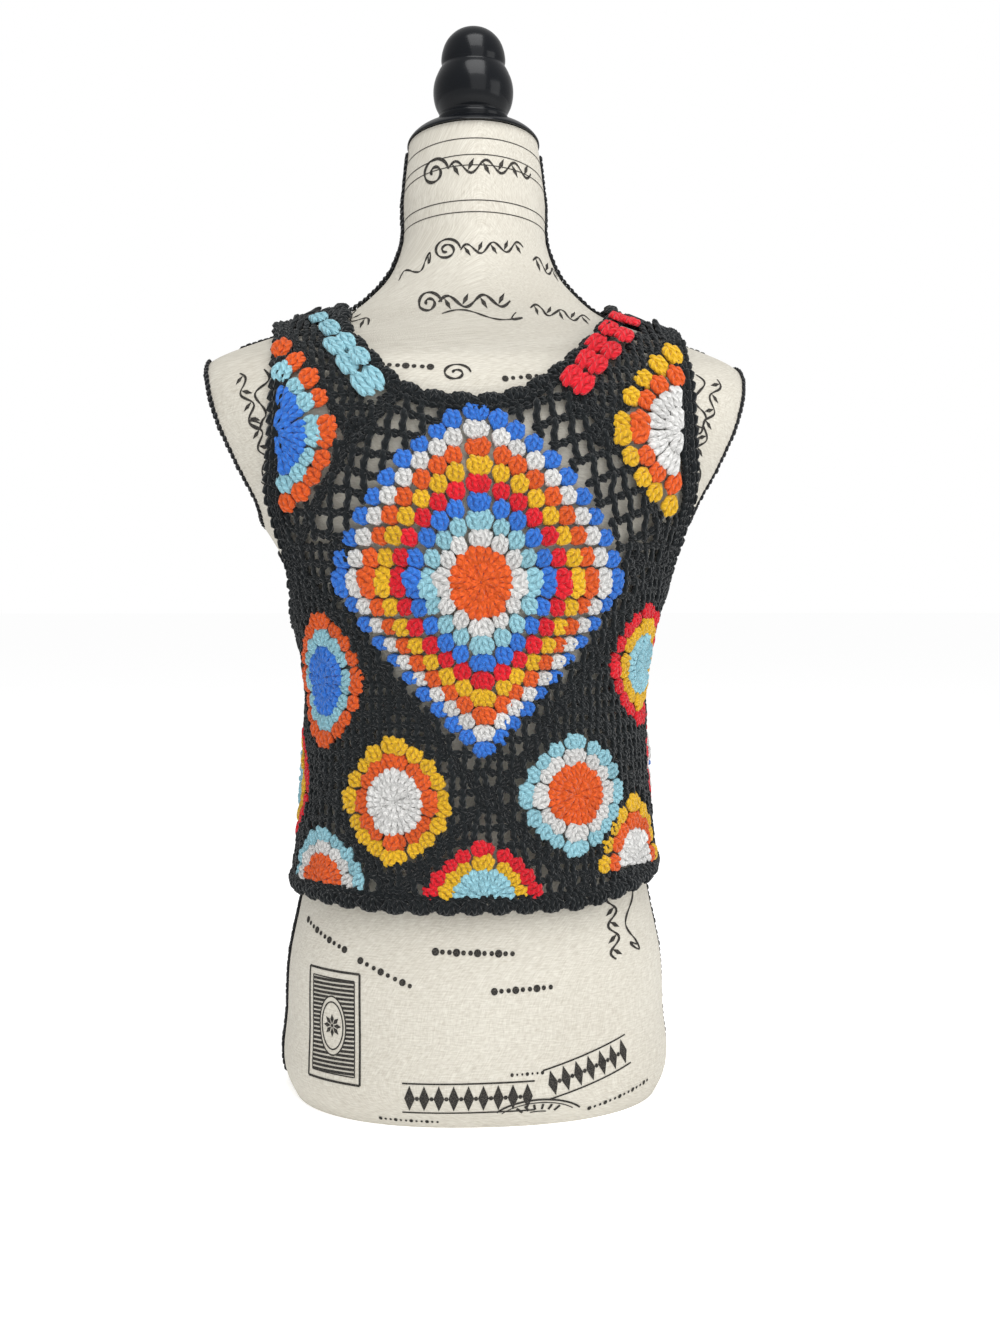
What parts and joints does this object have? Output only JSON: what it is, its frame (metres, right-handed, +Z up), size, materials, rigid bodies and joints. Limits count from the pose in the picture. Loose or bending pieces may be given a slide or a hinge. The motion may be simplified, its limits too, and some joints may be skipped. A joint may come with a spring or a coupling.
{
  "type": "crochet top on a dress form",
  "caption": "Sleeveless scoop-neck top of crocheted granny squares joined in black mesh, worn by a limbless linen dress form with braid trim, neck cap and turned finial.",
  "frame": {"origin": "centre of the bounding box in plan, at the dress form's flat underside", "axes": "+Z up along the form, +X towards the wearer's right, +Y towards the chest; the back of the top faces -Y"},
  "size_m": [0.3868, 0.2314, 0.7613],
  "materials": {
    "linen": "matt woven linen cover",
    "gloss_black": "gloss lacquer",
    "braid": "black gimp braid",
    "yarn_centre_squares": "crochet acrylic yarn, rounds of ten colours",
    "yarn_side_squares": "crochet acrylic yarn, rounds of three colours",
    "yarn_lower_squares": "crochet acrylic yarn, rounds of three colours",
    "yarn_hem_halves": "crochet acrylic yarn, rounds of three colours",
    "yarn_armhole_halves": "crochet acrylic yarn, rounds of three colours",
    "yarn_black": "black crochet acrylic yarn"
  },
  "bodies": {
    "root": {"armhole_edging_left": "yarn_black", "armhole_edging_right": "yarn_black", "armhole_half_back_left": "yarn_armhole_halves", "armhole_half_back_right": "yarn_armhole_halves", "armhole_half_front_left": "yarn_armhole_halves", "armhole_half_front_right": "yarn_armhole_halves", "back_centre_square": "yarn_centre_squares", "finial": "gloss_black", "form_body": "linen", "front_centre_square": "yarn_centre_squares", "hem_edging": "yarn_black", "hem_half_back": "yarn_hem_halves", "hem_half_back_left": "yarn_hem_halves", "hem_half_back_right": "yarn_hem_halves", "hem_half_front": "yarn_hem_halves", "hem_half_front_left": "yarn_hem_halves", "hem_half_front_right": "yarn_hem_halves", "lower_square_back_left": "yarn_lower_squares", "lower_square_back_right": "yarn_lower_squares", "lower_square_front_left": "yarn_lower_squares", "lower_square_front_right": "yarn_lower_squares", "lower_square_side_left": "yarn_lower_squares", "lower_square_side_right": "yarn_lower_squares", "neck_cap": "gloss_black", "neck_edging": "yarn_black", "plate_trim_left": "braid", "plate_trim_right": "braid", "shoulder_piece_back_left": "yarn_black", "shoulder_piece_back_right": "yarn_black", "shoulder_piece_front_left": "yarn_black", "shoulder_piece_front_right": "yarn_black", "shoulder_trim_left": "braid", "shoulder_trim_right": "braid", "side_square_back_left": "yarn_side_squares", "side_square_back_right": "yarn_side_squares", "side_square_front_left": "yarn_side_squares", "side_square_front_right": "yarn_side_squares", "side_trim_left": "braid", "side_trim_right": "braid", "underarm_half_left": "yarn_black", "underarm_half_right": "yarn_black"}
  },
  "joints": []
}
